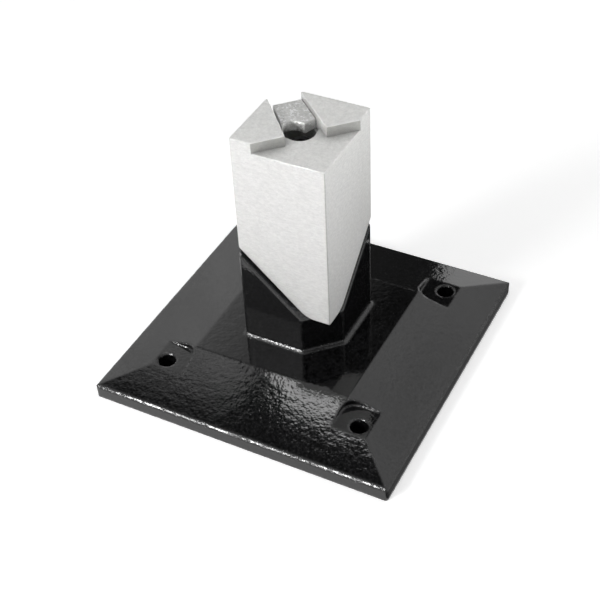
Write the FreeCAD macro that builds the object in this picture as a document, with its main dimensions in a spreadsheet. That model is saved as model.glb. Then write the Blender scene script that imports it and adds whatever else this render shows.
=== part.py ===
"""Surface mount post base: a cast plate and stub, and a wedge block that spreads inside a hollow post."""
import FreeCAD, Part
import math
import os
import Sketcher

SIZES = {
    # Plate
    "plate_width": 190.5,
    "plate_corner": 2.0,
    "rim_height": 8.6,
    "rim_round": 2.0,
    "flat_width": 101.0,
    "flat_height": 20.0,
    # Anchor holes, and the flat seats that are sunk into the slopes round them
    "anchor_pitch": 127.0,
    "anchor_bore": 10.3,
    "anchor_bevel": 0.7,
    "seat_land": 2.26,
    "seat_wall": 14.3,
    "seat_corner": 9.0,
    # Stub and wedge block share one width, which goes loosely into the post
    "core_width": 57.15,
    "core_edge": 1.5,
    "stub_relief": 18.2,
    "foot_bevel": 1.5,
    # The slant between them: its height on the axis, its angle, and where it ends in front and behind
    "slant_height": 81.8,
    "slant_angle": 52.7,
    "slant_gap": 0.2,
    "slant_bevel": 0.6,
    "peak_back": 26.8,
    "tip_forward": 29.8,
    "tip_round": 8.0,
    # Wedge block, given where it lies flush with the stub, and how far it shifts from there
    "block_rise": 74.6,
    "block_edge": 0.8,
    "relief_inset": 0.54,
    "apex_round": 0.8,
    "top_bevel": 0.4,
    "step_forward": 9.4,
    "step_depth": 6.6,
    "lip_height": 3.5,
    "channel_width": 22.5,
    "channel_taper": 3.3,
    "channel_neck": 1.0,
    "bore_diameter": 17.6,
    "bore_back": 0.75,
    "loose_shift": 2.7,
    "spread_shift": 4.0,
    "side_play": 1.2,
    # Keeper plate
    "keeper_height": 6.5,
    "keeper_front": 6.5,
    "keeper_slant": 22.0,
    "keeper_inset": 3.5,
    "keeper_near_gap": 0.15,
    "keeper_far_gap": 2.25,
    "keeper_bevel": 0.6,
    "notch_diameter": 15.2,
    "notch_back": 1.2,
    "notch_aside": 4.0,
    # Draw bolt and its washer, with the room that each has
    "shank_diameter": 8.0,
    "shank_clear": 0.3,
    "thread_gap": 0.2,
    "thread_engagement": 20.5,
    "tapped_reserve": 5.0,
    "passage_gap": 2.4,
    "point_bevel": 1.0,
    "head_diameter": 13.0,
    "head_height": 8.0,
    "head_bevel": 0.8,
    "head_clear": 0.6,
    "socket_flats": 6.0,
    "socket_depth": 4.0,
    "washer_diameter": 16.0,
    "washer_height": 1.6,
    "washer_gap": 0.3,
    "washer_clear": 0.5,
}

# Lengths that follow from the sizes above, as expressions on the sheet
SLOPE = "tan(sizes.slant_angle)"
HALF_CORE = "sizes.core_width / 2"
CORNER_REACH = "(sizes.core_width / sqrt(2) + sizes.core_edge)"
STUB_FRONT = "((sizes.core_width - sizes.stub_relief) / sqrt(2) + sizes.core_edge)"
STUB_PEAK = f"(sizes.slant_height + sizes.peak_back * {SLOPE})"
BLOCK_SLANT = "(sizes.slant_height + sizes.slant_gap)"
BLOCK_TIP = f"({BLOCK_SLANT} - sizes.tip_forward * {SLOPE})"
BLOCK_TOP = "(sizes.slant_height + sizes.block_rise)"
HALF_CHANNEL = "(sizes.channel_width / 2)"
TAPER = "tan(sizes.channel_taper)"
APEX_SPREAD = f"(({HALF_CHANNEL} - sizes.core_width / sqrt(2) * {TAPER}) / (1 - {TAPER}))"
BLOCK_RELIEF = f"({APEX_SPREAD} - sizes.relief_inset) * sqrt(2)"
BLOCK_BACK = f"((sizes.core_width - {BLOCK_RELIEF}) / sqrt(2))"
STEP_FLOOR = f"({BLOCK_TOP} - sizes.step_depth)"
CHANNEL_FLOOR = f"({STEP_FLOOR} - sizes.lip_height)"
HEAD_SPACE = "(sizes.head_height + sizes.washer_height + sizes.head_clear)"
LOOSE_RISE = f"(sizes.loose_shift * {SLOPE})"
SPREAD_DROP = f"(sizes.spread_shift * {SLOPE})"
LOOSE_X = "(sizes.side_play - sizes.loose_shift) / sqrt(2)"
LOOSE_Y = "(sizes.side_play + sizes.loose_shift) / sqrt(2)"
WASHER_SEAT = f"({CHANNEL_FLOOR} - {HEAD_SPACE} + {LOOSE_RISE})"
HEAD_SEAT = f"({WASHER_SEAT} + sizes.washer_height)"
BOLT_TIP = "(sizes.slant_height - sizes.thread_engagement)"

# A seat's floor runs out on the slopes where its land round the bore ends
PLATE_FALL = "(2 * (sizes.flat_height - sizes.rim_height) / (sizes.plate_width - sizes.flat_width))"
SEAT_REACH = "(sizes.anchor_pitch / 2 + sizes.anchor_bore / 2 + sizes.seat_land)"
SEAT_HEIGHT = f"(sizes.flat_height - ({SEAT_REACH} - sizes.flat_width / 2) * {PLATE_FALL})"

# The passage is as short as lets the bolt clear both its ends over the whole travel of the wedge
PASSAGE_RADIUS = "(sizes.shank_diameter / 2 + sizes.passage_gap)"
END_PLAY = "sqrt((sizes.passage_gap - sizes.shank_clear)^2 - sizes.side_play^2)"
PASSAGE_FRONT = f"(sizes.loose_shift - {END_PLAY})"
PASSAGE_BACK = f"({END_PLAY} - sizes.spread_shift)"

# The wedge works along the diagonal that runs from the back corner of the plate to its front corner
DIAGONAL = -45.0

# Two lengths in millimetres that differ by less than this count as the same
TOLERANCE = 0.01

doc = FreeCAD.newDocument("post_base")
sheet = doc.addObject("Spreadsheet::Sheet", "sizes")
for row, (alias, value) in enumerate(SIZES.items(), start=1):
    sheet.set(f"A{row}", alias.replace("_", " "))
    sheet.set(f"B{row}", str(value))
    sheet.setAlias(f"B{row}", alias)
doc.recompute()


def number(expression):
    """Works out an expression on the sheet, in millimetres or degrees."""
    value = sheet.evalExpression(str(expression).replace("sizes.", ""))
    return float(getattr(value, "Value", value))


def new_body(label):
    """Starts one sub-part."""
    body = doc.addObject("PartDesign::Body", label)
    body.Label = label
    return body


def origin_feature(body, role):
    """Finds one of the body's own planes or axes."""
    return next(item for item in body.Origin.OriginFeatures if item.Role == role)


def place_sketch(body, name, plane, level, turn):
    """Attaches an empty sketch to an origin plane, raised to a level and turned about the vertical."""
    sketch = body.newObject("Sketcher::SketchObject", name)
    sketch.AttachmentSupport = [(origin_feature(body, plane), "")]
    sketch.MapMode = "FlatFace"
    upright = FreeCAD.Vector(0, 0, 1) if plane == "XY_Plane" else FreeCAD.Vector(0, 1, 0)
    sketch.AttachmentOffset = FreeCAD.Placement(FreeCAD.Vector(0, 0, 0), FreeCAD.Rotation(upright, turn))
    if level is not None:
        sketch.setExpression("AttachmentOffset.Base.z", str(level))
    return sketch


def hold_point(sketch, geometry, position, place):
    """Fixes a point of the sketch at two expressions."""
    for kind, expression in zip(("DistanceX", "DistanceY"), place):
        index = sketch.addConstraint(Sketcher.Constraint(kind, geometry, position, number(expression)))
        sketch.setExpression(f"Constraints[{index}]", str(expression))


def outline_sketch(body, name, corners, plane="XY_Plane", level=None, turn=0.0):
    """Draws a closed outline whose corners are (x, y) or (x, y, radius), each an expression."""
    sketch = place_sketch(body, name, plane, level, turn)
    count = len(corners)
    spots = [FreeCAD.Vector(number(corner[0]), number(corner[1]), 0) for corner in corners]
    starts, ends, arcs = {}, {}, {}
    for index, corner in enumerate(corners):
        before = (spots[index - 1] - spots[index]).normalize()
        after = (spots[(index + 1) % count] - spots[index]).normalize()
        if len(corner) == 2:
            ends[index] = starts[index] = spots[index]
            continue
        radius = number(corner[2])
        half_angle = before.getAngle(after) / 2
        reach = radius / math.tan(half_angle)
        ends[index] = spots[index] + before * reach
        starts[index] = spots[index] + after * reach
        toward = (before + after).normalize()
        centre = spots[index] + toward * (radius / math.sin(half_angle))
        middle = centre - toward * radius
        arcs[index] = Part.Arc(ends[index], middle, starts[index])
    lines = [
        sketch.addGeometry(Part.LineSegment(starts[index], ends[(index + 1) % count]))
        for index in range(count)
    ]
    for index, corner in enumerate(corners):
        line_before, line_after = lines[index - 1], lines[index]
        if index not in arcs:
            sketch.addConstraint(Sketcher.Constraint("Coincident", line_before, 2, line_after, 1))
            hold_point(sketch, line_after, 1, corner[:2])
            continue
        vertex = sketch.addGeometry(Part.Point(spots[index]), True)
        hold_point(sketch, vertex, 1, corner[:2])
        sketch.addConstraint(Sketcher.Constraint("PointOnObject", vertex, 1, line_before))
        sketch.addConstraint(Sketcher.Constraint("PointOnObject", vertex, 1, line_after))
        arc = sketch.addGeometry(arcs[index])
        clockwise = (spots[index] - ends[index]).cross(starts[index] - spots[index]).z < 0
        near, far = (2, 1) if clockwise else (1, 2)
        sketch.addConstraint(Sketcher.Constraint("Tangent", line_before, 2, arc, near))
        sketch.addConstraint(Sketcher.Constraint("Tangent", line_after, 1, arc, far))
        size = sketch.addConstraint(Sketcher.Constraint("Radius", arc, number(corner[2])))
        sketch.setExpression(f"Constraints[{size}]", str(corner[2]))
    return sketch


def circle_sketch(body, name, centre, diameter, level=None, turn=0.0):
    """Draws a circle from expressions for its centre and diameter."""
    sketch = place_sketch(body, name, "XY_Plane", level, turn)
    spot = FreeCAD.Vector(number(centre[0]), number(centre[1]), 0)
    circle = sketch.addGeometry(Part.Circle(spot, FreeCAD.Vector(0, 0, 1), number(diameter) / 2))
    hold_point(sketch, circle, 3, centre)
    size = sketch.addConstraint(Sketcher.Constraint("Diameter", circle, number(diameter)))
    sketch.setExpression(f"Constraints[{size}]", str(diameter))
    return sketch


def slot_sketch(body, name, back, front, radius, level):
    """Draws a round-ended slot along the diagonal, from the places of its two end centres and its radius."""
    sketch = place_sketch(body, name, "XY_Plane", level, DIAGONAL)
    size, ends = number(radius), (number(front), number(back))
    arcs = []
    for centre, heading in zip(ends, (-math.pi / 2, math.pi / 2)):
        circle = Part.Circle(FreeCAD.Vector(centre, 0, 0), FreeCAD.Vector(0, 0, 1), size)
        arcs.append(sketch.addGeometry(Part.ArcOfCircle(circle, heading, heading + math.pi)))
    for side, (first, last) in zip((1, -1), (arcs, arcs[::-1])):
        start, stop = ends if side > 0 else ends[::-1]
        line = sketch.addGeometry(
            Part.LineSegment(FreeCAD.Vector(start, side * size, 0), FreeCAD.Vector(stop, side * size, 0))
        )
        sketch.addConstraint(Sketcher.Constraint("Tangent", first, 2, line, 1))
        sketch.addConstraint(Sketcher.Constraint("Tangent", line, 2, last, 1))
    for arc, place in zip(arcs, (front, back)):
        hold_point(sketch, arc, 3, (place, "0"))
    sketch.addConstraint(Sketcher.Constraint("Equal", *arcs))
    index = sketch.addConstraint(Sketcher.Constraint("Radius", arcs[0], size))
    sketch.setExpression(f"Constraints[{index}]", radius)
    return sketch


def pad(body, name, sketch, length):
    """Raises a sketch by a length."""
    feature = body.newObject("PartDesign::Pad", name)
    feature.Profile = sketch
    feature.setExpression("Length", length)
    return feature


def cut(body, name, sketch, depth=None, upward=False, both_sides=False):
    """Cuts a sketch away, down or up, to a depth or right through, and checks that metal came off."""
    doc.recompute()
    before = body.Shape.Volume
    feature = body.newObject("PartDesign::Pocket", name)
    feature.Profile = sketch
    feature.Reversed = upward
    if both_sides:
        feature.SideType = "Symmetric"
    if depth is None:
        feature.Type = "ThroughAll"
    else:
        feature.setExpression("Length", depth)
    doc.recompute()
    if not body.Shape.Volume < before:
        raise RuntimeError(f"{name} removed nothing")
    return feature


def repeat_round(body, name, features):
    """Repeats features at the four sides or corners of the plate."""
    pattern = body.newObject("PartDesign::PolarPattern", name)
    pattern.Originals = features
    pattern.Axis = (origin_feature(body, "Z_Axis"), [""])
    pattern.Angle = 360
    pattern.Occurrences = 4
    body.Tip = pattern
    return pattern


def dress_edges(body, kind, name, test, size):
    """Rounds or bevels the edges of the body so far that pass a test on their ends and middle."""
    doc.recompute()
    base = body.Tip
    names = []
    for index, edge in enumerate(base.Shape.Edges, start=1):
        middle = edge.valueAt((edge.FirstParameter + edge.LastParameter) / 2)
        if all(test(point) for point in [vertex.Point for vertex in edge.Vertexes] + [middle]):
            names.append(f"Edge{index}")
    feature = body.newObject(f"PartDesign::{kind}", name)
    feature.Base = (base, names)
    feature.setExpression("Radius" if kind == "Fillet" else "Size", size)
    return feature


def near(value, target):
    """Tells whether two lengths count as the same."""
    return abs(value - target) < TOLERANCE


def along(point):
    """Distance of a point from the upright axis, along the diagonal towards the front corner."""
    return (point.x - point.y) / math.sqrt(2)


def across(point):
    """Distance of a point from the upright axis, square to the diagonal."""
    return (point.x + point.y) / math.sqrt(2)


def square_corners(half, radius):
    """Corners of a square about the axis, each rounded."""
    return [
        (f"-({half})", f"-({half})", radius),
        (half, f"-({half})", radius),
        (half, half, radius),
        (f"-({half})", half, radius),
    ]


def relieved_square(half, relief, radius, front):
    """Corners of a square with its front or back corner cut off at 45 degrees, the others rounded."""
    corners = square_corners(half, radius)
    cut_short = f"({half}) - ({relief})"
    if front:
        corners[1:2] = [(cut_short, f"-({half})", radius), (half, f"-({cut_short})", radius)]
    else:
        corners[3:4] = [(f"-({cut_short})", half, radius), (f"-({half})", cut_short, radius)]
    return corners


def above_slant():
    """Outline, in the diagonal plane, of all that lies above the stub's slant."""
    high = f"sizes.slant_height + {CORNER_REACH} * {SLOPE}"
    low = f"sizes.slant_height - {STUB_FRONT} * {SLOPE}"
    return [(f"-{CORNER_REACH}", high), (STUB_FRONT, low), (STUB_FRONT, high)]


def below_slant():
    """Outline, in the diagonal plane, of all that lies below the block's slant and its blunt tip."""
    high, below = f"{BLOCK_SLANT} + {CORNER_REACH} * {SLOPE}", f"{BLOCK_TIP} - 2 * sizes.tip_round"
    return [
        (f"-{CORNER_REACH}", high), (f"-{CORNER_REACH}", below), (CORNER_REACH, below),
        (CORNER_REACH, BLOCK_TIP), ("sizes.tip_forward", BLOCK_TIP, "sizes.tip_round"),
    ]


def build_base():
    """Plate with sloping sides and a flat top, and the slanted stub that stands on it, cast in one piece."""
    body = new_body("base")
    half_plate = "sizes.plate_width / 2"
    half_flat = "sizes.flat_width / 2"
    foot = outline_sketch(body, "plate_foot", square_corners(half_plate, "sizes.plate_corner"))
    pad(body, "plate", foot, "sizes.flat_height")
    outside, above = f"{half_plate} + sizes.rim_height", "sizes.flat_height + sizes.rim_height"
    below_round = "sizes.rim_height - 2 * sizes.rim_round"
    slope_corners = [
        (half_flat, "sizes.flat_height"), (half_plate, "sizes.rim_height", "sizes.rim_round"),
        (half_plate, below_round), (outside, below_round), (outside, above), (half_flat, above),
    ]
    slope_outline = outline_sketch(body, "slope_outline", slope_corners, "XZ_Plane")
    slope_cut = cut(body, "plate_slope", slope_outline, both_sides=True)
    repeat_round(body, "plate_slopes", [slope_cut])

    stub = relieved_square(HALF_CORE, "sizes.stub_relief", "sizes.core_edge", front=True)
    stub_outline = outline_sketch(body, "stub_outline", stub, level="sizes.flat_height")
    pad(body, "stub", stub_outline, f"{STUB_PEAK} - sizes.flat_height")
    slant = outline_sketch(body, "stub_slant_outline", above_slant(), "XZ_Plane", turn=DIAGONAL)
    cut(body, "stub_slant", slant, both_sides=True)

    tapped_floor = f"{BOLT_TIP} - {LOOSE_RISE} - {SPREAD_DROP} - sizes.tapped_reserve"
    tapped_bore = "sizes.shank_diameter + 2 * sizes.thread_gap"
    tapped = circle_sketch(body, "tapped_circle", ("0", "0"), tapped_bore, level=tapped_floor)
    cut(body, "tapped_hole", tapped, upward=True)

    # One flat seat and hole at the front corner, repeated at the other three
    inner, outer = "(sizes.anchor_pitch / 2 - sizes.seat_wall)", half_plate
    seat_corners = [
        (inner, f"-({outer})"),
        (outer, f"-({outer})"),
        (outer, f"-({inner})"),
        (inner, f"-({inner})", "sizes.seat_corner"),
    ]
    seat_outline = outline_sketch(body, "seat_outline", seat_corners, level=SEAT_HEIGHT)
    seat = cut(body, "anchor_seat", seat_outline, upward=True)
    spot = ("sizes.anchor_pitch / 2", "-sizes.anchor_pitch / 2")
    circle = circle_sketch(body, "anchor_circle", spot, "sizes.anchor_bore")
    bore = cut(body, "anchor_hole", circle, upward=True)
    repeat_round(body, "anchor_ring", [seat, bore])

    seat_height = number(SEAT_HEIGHT)
    bore_reach = number("sizes.anchor_bore / 2") + TOLERANCE
    pitch = number("sizes.anchor_pitch / 2")

    def on_anchor_lip(point):
        reach = math.hypot(abs(point.x) - pitch, abs(point.y) - pitch)
        return near(point.z, seat_height) and reach < bore_reach

    dress_edges(body, "Chamfer", "anchor_lips", on_anchor_lip, "sizes.anchor_bevel")
    half_core = number(HALF_CORE) + TOLERANCE
    flat_height = number("sizes.flat_height")

    def on_stub_foot(point):
        return near(point.z, flat_height) and max(abs(point.x), abs(point.y)) < half_core

    dress_edges(body, "Chamfer", "stub_foot_bevel", on_stub_foot, "sizes.foot_bevel")
    slant_height, slope = number("sizes.slant_height"), number(SLOPE)
    hole_reach = number(tapped_bore) / 2

    def on_slant_edge(point):
        on_slant = near(point.z, slant_height - slope * along(point))
        return on_slant and max(abs(point.x), abs(point.y)) > hole_reach + TOLERANCE

    dress_edges(body, "Chamfer", "slant_bevel", on_slant_edge, "sizes.slant_bevel")
    return body


def channel_half(place):
    """Half the width of the channel, which narrows towards the back, at a place along the diagonal."""
    return f"({HALF_CHANNEL} + ({place}) * {TAPER})"


def set_loose(body):
    """Lifts a piece from the flush place to where the loose wedge rests, up the slant and a little aside."""
    body.setExpression("Placement.Base.x", LOOSE_X)
    body.setExpression("Placement.Base.y", LOOSE_Y)
    body.setExpression("Placement.Base.z", LOOSE_RISE)


def build_wedge_block():
    """Block with a slanted underside that slides down the stub, and a stepped top with a diagonal channel."""
    body = new_body("wedge_block")
    block = relieved_square(HALF_CORE, BLOCK_RELIEF, "sizes.block_edge", front=False)
    lowest = f"{BLOCK_TIP} - sizes.tip_round"
    outline = outline_sketch(body, "block_outline", block, level=lowest)
    pad(body, "block", outline, f"{BLOCK_TOP} - ({lowest})")
    slant = outline_sketch(body, "block_slant_outline", below_slant(), "XZ_Plane", turn=DIAGONAL)
    cut(body, "block_slant", slant, both_sides=True)

    # The front of the top is one step lower than the two corner pads
    beyond = "sizes.core_width"
    step = [
        ("sizes.step_forward", f"-{beyond}"), (beyond, f"-{beyond}"),
        (beyond, beyond), ("sizes.step_forward", beyond),
    ]
    step_outline = outline_sketch(body, "step_outline", step, level=BLOCK_TOP, turn=DIAGONAL)
    cut(body, "front_step", step_outline, "sizes.step_depth")
    back_half, step_half = channel_half(f"-{beyond}"), channel_half("sizes.step_forward")
    channel = [
        (f"-{beyond}", f"-{back_half}"), ("sizes.step_forward", f"-{step_half}"),
        ("sizes.step_forward", step_half), (f"-{beyond}", back_half),
    ]
    channel_outline = outline_sketch(body, "channel_outline", channel, level=BLOCK_TOP, turn=DIAGONAL)
    cut(body, "channel", channel_outline, "sizes.step_depth")

    # Behind the step the channel is deeper, and its front end narrows into a bore that the washer passes
    bore_side = "(sizes.bore_diameter / sqrt(8))"
    neck, neck_half = f"{bore_side} - sizes.bore_back", channel_half("-sizes.channel_neck")
    trough = [
        (f"-{beyond}", f"-{back_half}"), ("-sizes.channel_neck", f"-{neck_half}"),
        (neck, f"-{bore_side}"), (neck, bore_side),
        ("-sizes.channel_neck", neck_half), (f"-{beyond}", back_half),
    ]
    trough_outline = outline_sketch(body, "trough_outline", trough, level=BLOCK_TOP, turn=DIAGONAL)
    trough_depth = f"{BLOCK_TOP} - {CHANNEL_FLOOR}"
    cut(body, "trough", trough_outline, trough_depth)
    bore = circle_sketch(
        body, "bore_circle", ("-sizes.bore_back", "0"), "sizes.bore_diameter", level=BLOCK_TOP, turn=DIAGONAL
    )
    cut(body, "head_bore", bore, trough_depth)

    passage = slot_sketch(body, "passage_outline", PASSAGE_BACK, PASSAGE_FRONT, PASSAGE_RADIUS, BLOCK_TOP)
    cut(body, "bolt_passage", passage)
    head_radius = "sizes.washer_diameter / 2 + sizes.side_play + sizes.washer_clear"
    head_room = slot_sketch(
        body, "head_outline", "-sizes.spread_shift", "sizes.loose_shift", head_radius, CHANNEL_FLOOR
    )
    cut(body, "head_pocket", head_room, HEAD_SPACE)

    top, floor, trough_floor = number(BLOCK_TOP), number(STEP_FLOOR), number(CHANNEL_FLOOR)
    half, spread = number(HALF_CORE), number(APEX_SPREAD)

    def on_pad_apex(point):
        outer = near(point.x, -half) or near(point.y, half)
        return outer and near(abs(across(point)), spread) and point.z > trough_floor - TOLERANCE

    dress_edges(body, "Fillet", "apex_rounding", on_pad_apex, "sizes.apex_round")
    dress_edges(body, "Chamfer", "pad_bevel", lambda point: near(point.z, top), "sizes.top_bevel")
    rim = half - number("sizes.block_edge")

    def on_floor_rim(point):
        return near(point.z, floor) and max(abs(point.x), abs(point.y)) > rim

    dress_edges(body, "Chamfer", "floor_bevel", on_floor_rim, "sizes.top_bevel")
    set_loose(body)
    return body


def build_keeper():
    """Notched plate that lies in the channel behind the key opening and holds the bolt head down."""
    body = new_body("keeper")
    back, front = f"(sizes.keeper_inset - {BLOCK_BACK})", "-sizes.keeper_front"
    notch_side = f"(sizes.keeper_far_gap - {HALF_CHANNEL})"
    right = f"({channel_half(front)} - sizes.keeper_near_gap)"
    forward = f"{front} + ({right} - {notch_side}) * tan(sizes.keeper_slant)"
    corners = [
        (back, f"sizes.keeper_far_gap - {channel_half(back)}"),
        ("0", notch_side), (forward, notch_side), (front, right),
        (back, f"{channel_half(back)} - sizes.keeper_near_gap"),
    ]
    outline = outline_sketch(body, "keeper_outline", corners, level=CHANNEL_FLOOR, turn=DIAGONAL)
    pad(body, "keeper_plate", outline, "sizes.keeper_height")
    notch = circle_sketch(
        body, "notch_circle", ("-sizes.notch_back", "-sizes.notch_aside"), "sizes.notch_diameter",
        level=CHANNEL_FLOOR, turn=DIAGONAL
    )
    cut(body, "key_notch", notch, upward=True)
    top = number(f"{CHANNEL_FLOOR} + sizes.keeper_height")
    dress_edges(body, "Chamfer", "keeper_bevel", lambda point: near(point.z, top), "sizes.keeper_bevel")
    set_loose(body)
    return body


def build_draw_bolt():
    """Socket head screw that runs down through the wedge block into the stub."""
    body = new_body("draw_bolt")
    shank, head = "sizes.shank_diameter / 2", "sizes.head_diameter / 2"
    top = f"{HEAD_SEAT} + sizes.head_height"
    profile = [
        ("0", BOLT_TIP), (f"{shank} - sizes.point_bevel", BOLT_TIP),
        (shank, f"{BOLT_TIP} + sizes.point_bevel"), (shank, HEAD_SEAT),
        (head, HEAD_SEAT), (head, f"{top} - sizes.head_bevel"),
        (f"{head} - sizes.head_bevel", top), ("0", top),
    ]
    section = outline_sketch(body, "bolt_section", profile, "XZ_Plane")
    turned = body.newObject("PartDesign::Revolution", "bolt_blank")
    turned.Profile = section
    turned.ReferenceAxis = (section, ["V_Axis"])
    turned.Angle = 360
    across_corners = "sizes.socket_flats / sqrt(3)"
    hexagon = [
        (f"{across_corners} * cos({angle})", f"{across_corners} * sin({angle})")
        for angle in range(0, 360, 60)
    ]
    socket = outline_sketch(body, "socket_outline", hexagon, level=top)
    cut(body, "hex_socket", socket, "sizes.socket_depth")
    return body


def build_washer():
    """Flat washer under the bolt head."""
    body = new_body("washer")
    disc = circle_sketch(body, "washer_circle", ("0", "0"), "sizes.washer_diameter", level=WASHER_SEAT)
    pad(body, "washer_disc", disc, "sizes.washer_height")
    washer_bore = "sizes.shank_diameter + 2 * sizes.washer_gap"
    bore = circle_sketch(body, "washer_bore_circle", ("0", "0"), washer_bore, level=WASHER_SEAT)
    cut(body, "washer_hole", bore, upward=True)
    return body


bodies = [build_base(), build_wedge_block(), build_keeper(), build_draw_bolt(), build_washer()]
doc.recompute()
for item in doc.Objects:
    if {"Invalid", "Error"} & set(item.State):
        raise RuntimeError(f"{item.Label} failed: {item.State}")
for body in bodies:
    if body.Shape.isNull() or not body.Shape.isValid() or len(body.Shape.Solids) != 1:
        raise RuntimeError(f"{body.Label} is not one sound solid")

os.makedirs("parts", exist_ok=True)
for body in bodies:
    body.Shape.exportStep(f"parts/{body.Label}.step")
    print(f"{body.Label}: {body.Shape.Volume:.1f} cubic millimetres, {len(body.Shape.Faces)} faces")
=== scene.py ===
"""Looks of a surface mount post base: a black casting, a bare wedge block, and the bolt that draws it down."""

import logging
import math
from dataclasses import dataclass, field
from enum import Enum
from typing import Any, Callable

import bmesh
import bpy
from mathutils import Matrix, Vector


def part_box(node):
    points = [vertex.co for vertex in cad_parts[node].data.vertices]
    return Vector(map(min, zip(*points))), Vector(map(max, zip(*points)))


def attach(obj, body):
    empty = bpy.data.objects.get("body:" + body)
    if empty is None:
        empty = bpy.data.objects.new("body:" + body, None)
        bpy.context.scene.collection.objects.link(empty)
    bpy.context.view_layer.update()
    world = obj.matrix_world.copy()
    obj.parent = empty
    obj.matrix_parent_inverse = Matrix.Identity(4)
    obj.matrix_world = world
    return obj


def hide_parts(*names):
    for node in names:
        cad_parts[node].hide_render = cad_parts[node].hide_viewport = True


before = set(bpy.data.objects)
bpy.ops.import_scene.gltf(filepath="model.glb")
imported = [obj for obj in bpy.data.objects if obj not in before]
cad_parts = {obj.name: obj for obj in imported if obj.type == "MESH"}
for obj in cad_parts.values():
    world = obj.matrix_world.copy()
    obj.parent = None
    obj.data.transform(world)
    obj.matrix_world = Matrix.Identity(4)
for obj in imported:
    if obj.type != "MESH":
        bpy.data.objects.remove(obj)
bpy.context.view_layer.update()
MM = 0.001
FULL_TURN = 2 * math.pi
SHARP_ANGLE = math.radians(35)
TO_FRONT_CORNER = (math.sqrt(0.5), -math.sqrt(0.5), 0.0)
BEVEL_SAMPLES = 6
HOLLOW_SHADE_SAMPLES = 8
MERGE_DISTANCE = 1e-7
CUT_DISTANCE = 1e-6
KEY_SIDES = 6
# Upright share of a normal above which a face looks up
UPWARD = 0.9
# Noise keeps mostly between these values, so patterns are spread from them
NOISE_LOW, NOISE_HIGH = 0.3, 0.7
# Values of noise at which a painted glint starts and is full, and at which a bead ends and the gap beside it is
# full
PAINTED_GLINT_START, PAINTED_GLINT_FULL = 0.58, 0.61
BEAD_END, GAP_FULL = 0.53, 0.47
# Cosines between normals at which an edge starts and is full, and at which the painted shade on faces that look
# to the front corner does
EDGE_START, EDGE_FULL = 0.99, 0.96
FRONT_SHADE_START, FRONT_SHADE_FULL = 0.9, 0.95
# Upright share of the normals on a rounded rim: its middle, and how far it goes from there
ROUND_MIDDLE, ROUND_REACH = 0.525, 0.405
GAP_ROUGHNESS = 0.5
# Shares of half a pitch at which the thread's flank leaves its crest and reaches its root
CREST, ROOT = 0.15, 0.85
# Depth of reflections between first ones and later ones
FIRST_DEPTH = 1.5

log = logging.getLogger("post_base")

Colour = tuple[float, float, float, float]
Triple = tuple[float, float, float]
Tree = bpy.types.NodeTree
Socket = bpy.types.NodeSocket


class Body(Enum):
    """Bodies of the frame that pieces ride on."""

    WEDGE = "wedge"
    BOLT = "bolt"


class Slot(Enum):
    """Names of two material slots of the record."""

    ROUGH_ALUMINIUM = "rough_aluminium"
    BLACK_STEEL = "black_oxide_steel"


def linear(code: str) -> Colour:
    """Turns an sRGB hex colour into a linear one.

    Args:
        code: Colour such as "#1a2b3c".

    Returns:
        Linear red, green, blue and an alpha of one.
    """
    channels = [int(code[start:start + 2], 16) / 255 for start in (1, 3, 5)]
    red, green, blue = (c / 12.92 if c <= 0.04045 else ((c + 0.055) / 1.055) ** 2.4 for c in channels)
    return red, green, blue, 1.0


def per_metre(size_mm: float) -> float:
    """Gives the texture scale at which one feature is so many millimetres wide."""
    return 1 / (size_mm * MM)


def add_node(tree: Tree, kind: str, settings: dict[str | int, Any] | None = None,
             links: dict[str | int, Socket] | None = None) -> bpy.types.Node:
    """Adds a node with its settings and links.

    Args:
        tree: Tree that the node joins.
        kind: Blender's name for the type of node.
        settings: Values of the node's own properties, or of input sockets by name or index.
        links: Output sockets to link, by the name or index of the input that takes each.

    Returns:
        The new node.
    """
    node = tree.nodes.new(kind)
    for key, value in (settings or {}).items():
        if isinstance(key, str) and hasattr(node, key):
            setattr(node, key, value)
        else:
            node.inputs[key].default_value = value
    for key, socket in (links or {}).items():
        tree.links.new(socket, node.inputs[key])
    return node


def new_object(name: str, data: bpy.types.ID) -> bpy.types.Object:
    """Adds an object to the scene.

    Args:
        name: Name of the object.
        data: Its mesh, lamp or camera.

    Returns:
        The new object.
    """
    thing = bpy.data.objects.new(name, data)
    bpy.context.scene.collection.objects.link(thing)
    return thing


def new_material(name: str) -> tuple[bpy.types.Material, Tree, Socket, Socket]:
    """Starts a material with nothing in it but its coordinates and its output.

    Args:
        name: Name of the material.

    Returns:
        The material, its tree, the socket of the coordinates, and the output's surface socket.
    """
    material = bpy.data.materials.new(name)
    material.use_nodes = True
    tree = material.node_tree
    tree.nodes.clear()
    place = add_node(tree, "ShaderNodeTexCoord").outputs["Object"]
    return material, tree, place, add_node(tree, "ShaderNodeOutputMaterial").inputs["Surface"]


@dataclass(frozen=True)
class Relief:
    """One layer of surface relief.

    Attributes:
        width_mm: Width of one lump.
        depth_mm: Height of a lump.
        detail: How many finer layers the lumps carry.
        stretch: How the pattern is scaled along each axis.
    """

    width_mm: float
    depth_mm: float
    detail: float = 1.0
    stretch: Triple = (1.0, 1.0, 1.0)

    def pattern(self, tree: Tree, place: Socket) -> Socket:
        """Adds the layer's pattern.

        Args:
            tree: Tree of the material.
            place: Socket of the coordinates.

        Returns:
            Socket of the pattern, from nought to one.
        """
        mapping = add_node(tree, "ShaderNodeMapping", {"Scale": self.stretch}, {"Vector": place})
        texture = add_node(
            tree, "ShaderNodeTexNoise", {"Scale": per_metre(self.width_mm), "Detail": self.detail},
            {"Vector": mapping.outputs["Vector"]}
        )
        return texture.outputs["Fac"]


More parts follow.
